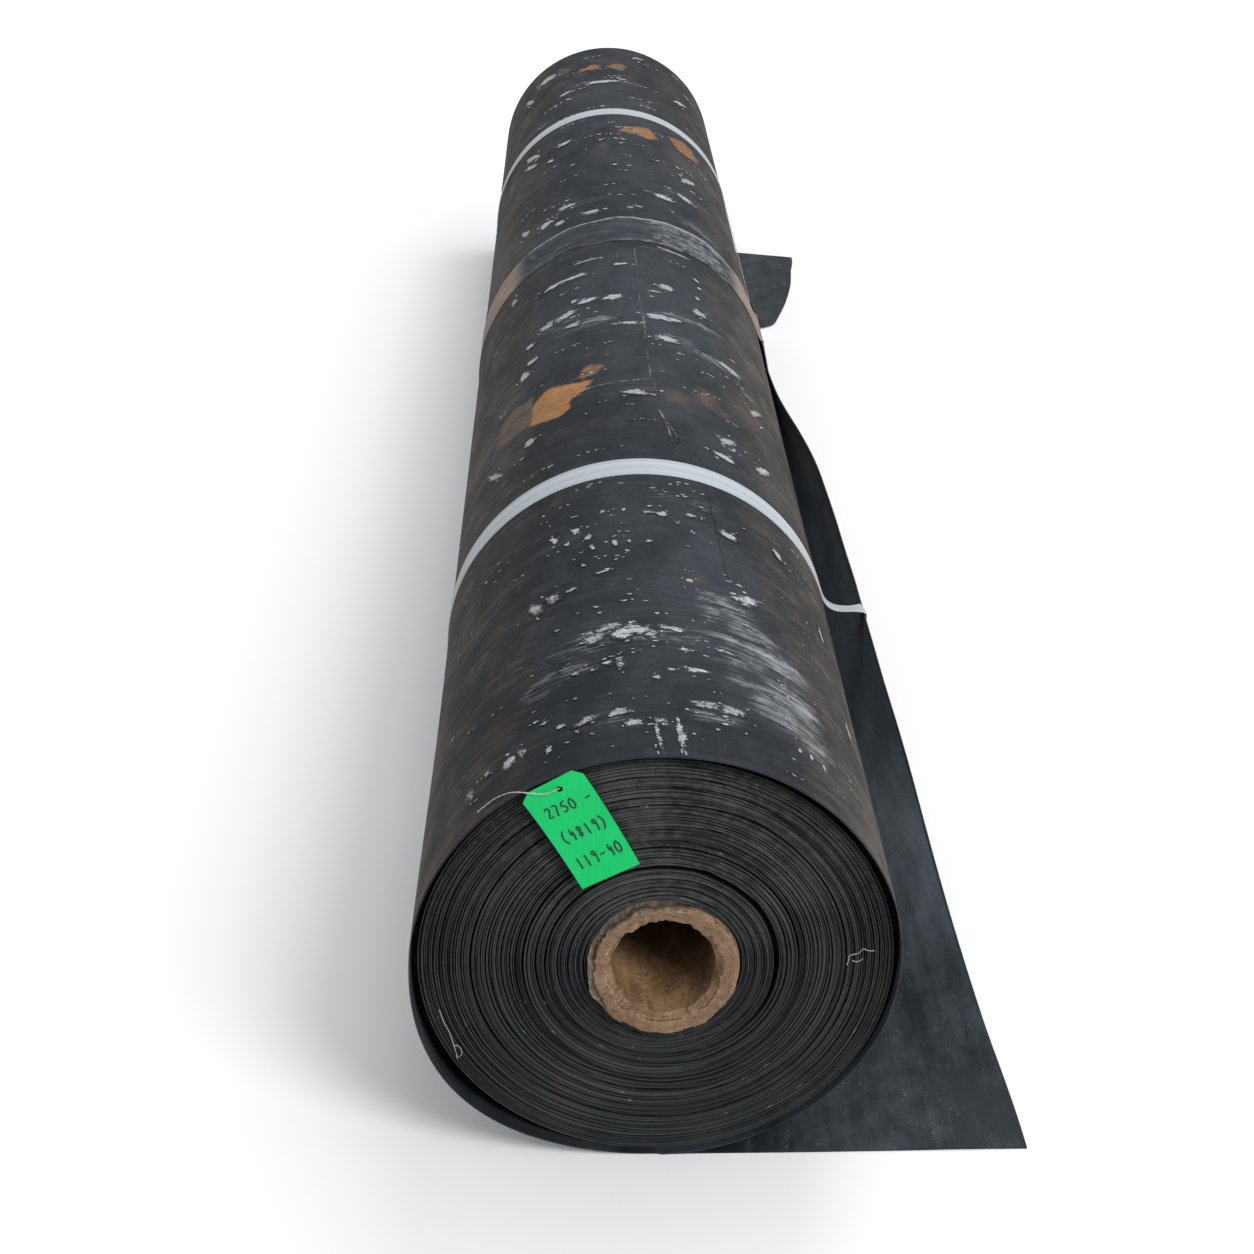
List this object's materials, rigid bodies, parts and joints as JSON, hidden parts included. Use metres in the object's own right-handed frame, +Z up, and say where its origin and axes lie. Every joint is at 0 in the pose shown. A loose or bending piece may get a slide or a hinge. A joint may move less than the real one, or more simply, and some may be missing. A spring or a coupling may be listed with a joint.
{
  "type": "roll of epdm membrane",
  "caption": "Roll of black rubber roofing membrane on a cardboard core, strapped, with its loose end lying out to one side.",
  "frame": {"origin": "on the floor under the middle of the roll, on the flat underside of its sheet", "axes": "+Y along the roll from the tagged end to the far end, +X to the side where the loose end lies, +Z up"},
  "size_m": [0.6718, 3.1532, 0.4768],
  "materials": {
    "rubber_sheet": "dusty matt black, scuffed, flecked with white paint",
    "core_board": "brown board, torn at the ends",
    "strap_plastic": "pale grey translucent strap with faint lengthwise lines",
    "worn_tape": "worn, dirty film, beige at the sides",
    "tag_card": "bright green tag stock with pen marks",
    "tie_wire": "thin dull wire"
  },
  "bodies": {
    "root": {"membrane": "rubber_sheet", "core_tube": "core_board", "strap_front": "strap_plastic", "strap_rear": "strap_plastic", "middle_band": "worn_tape", "tag": "tag_card", "tag_wire": "tie_wire"}
  },
  "joints": []
}
